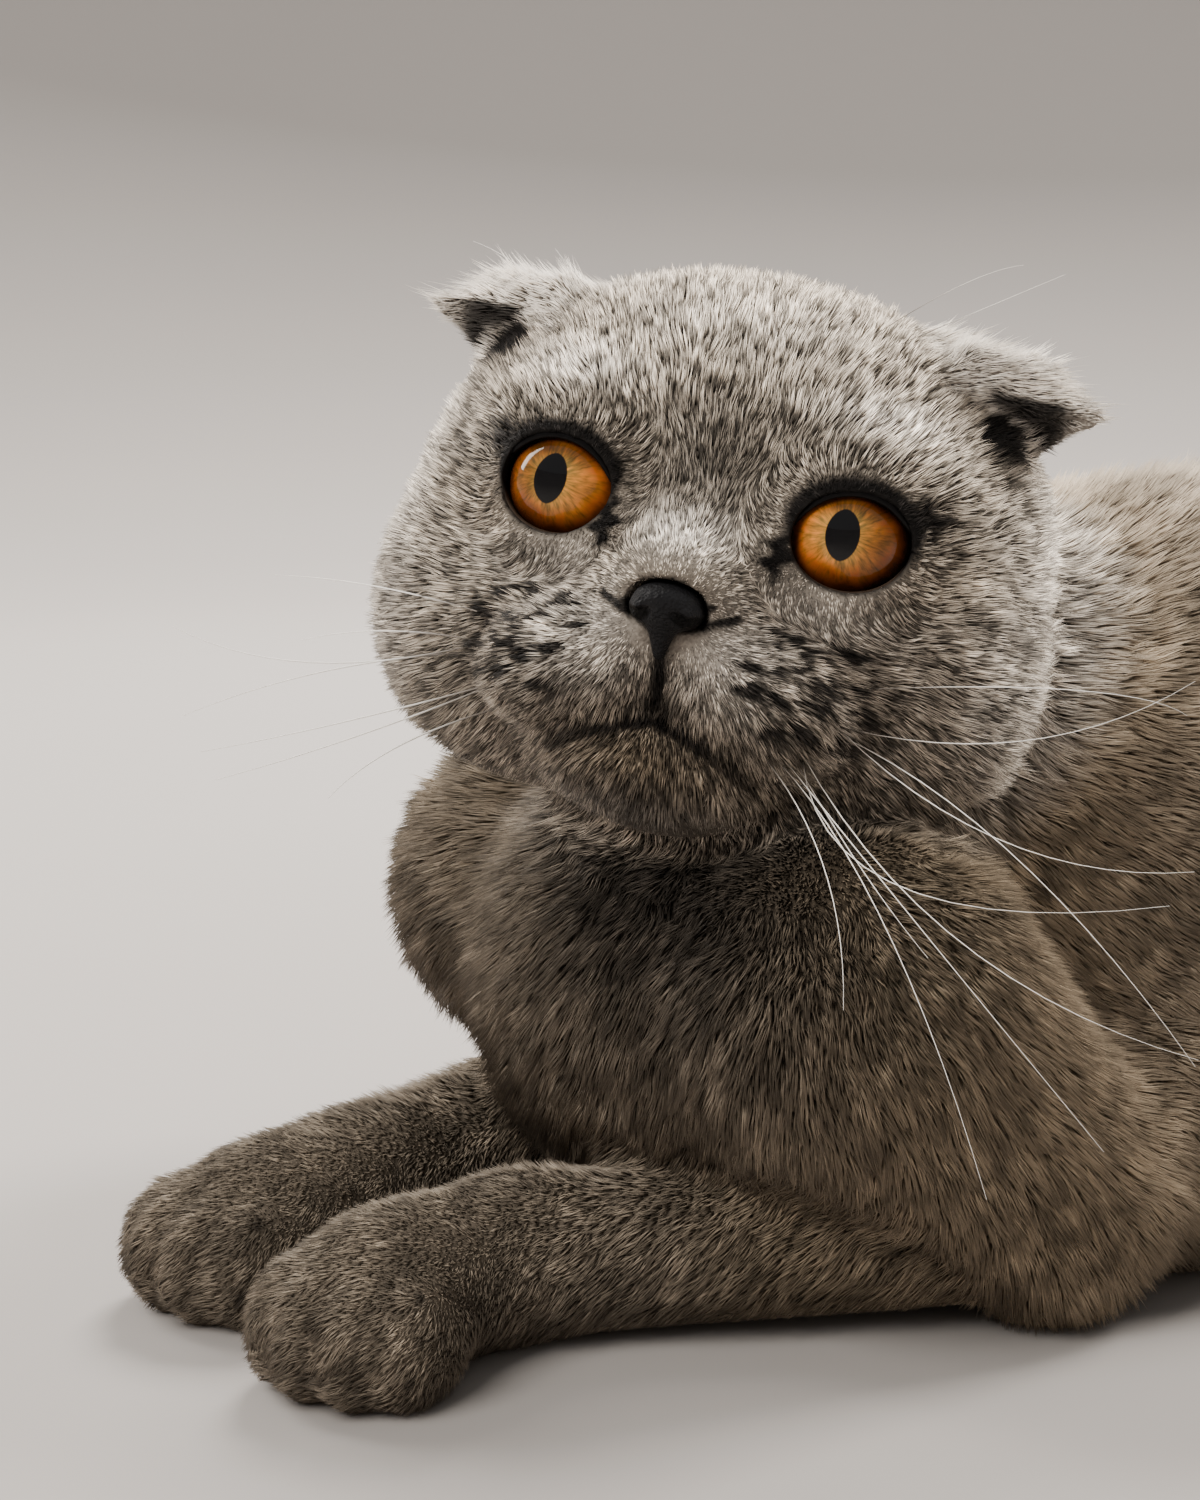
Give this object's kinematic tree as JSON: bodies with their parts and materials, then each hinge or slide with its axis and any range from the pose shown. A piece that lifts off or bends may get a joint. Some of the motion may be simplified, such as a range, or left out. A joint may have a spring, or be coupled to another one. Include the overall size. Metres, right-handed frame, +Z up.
{
  "type": "lying scottish fold cat model",
  "caption": "Still life-size model of a short-coated fold-eared cat lying on its chest, forelegs stretched forward, head turned to its left, tail curled round the haunch.",
  "frame": {"origin": "centre of the bounding box at floor level, under the belly", "axes": "+Z up, -Y the way the chest points, +X the cat's left"},
  "size_m": [0.2394, 0.4082, 0.1768],
  "materials": {
    "face_coat": "dense short plush blue-grey coat with pale tips",
    "body_coat": "dense short plush blue-grey coat",
    "eye": "wet copper-orange eye with a black upright pupil",
    "nose_leather": "bare dark nose leather"
  },
  "bodies": {
    "root": {"head": "face_coat", "ear_left": "face_coat", "ear_right": "face_coat", "neck": "body_coat", "torso": "body_coat", "foreleg_left_upper": "body_coat", "foreleg_left_forearm": "body_coat", "foreleg_left_paw": "body_coat", "foreleg_right_upper": "body_coat", "foreleg_right_forearm": "body_coat", "foreleg_right_paw": "body_coat", "hindleg_left_thigh": "body_coat", "hindleg_left_foot": "body_coat", "hindleg_right_thigh": "body_coat", "hindleg_right_foot": "body_coat", "tail_base": "body_coat", "tail_middle": "body_coat", "tail_tip": "body_coat", "eye_left": "eye", "eye_right": "eye", "nose": "nose_leather"}
  },
  "joints": []
}
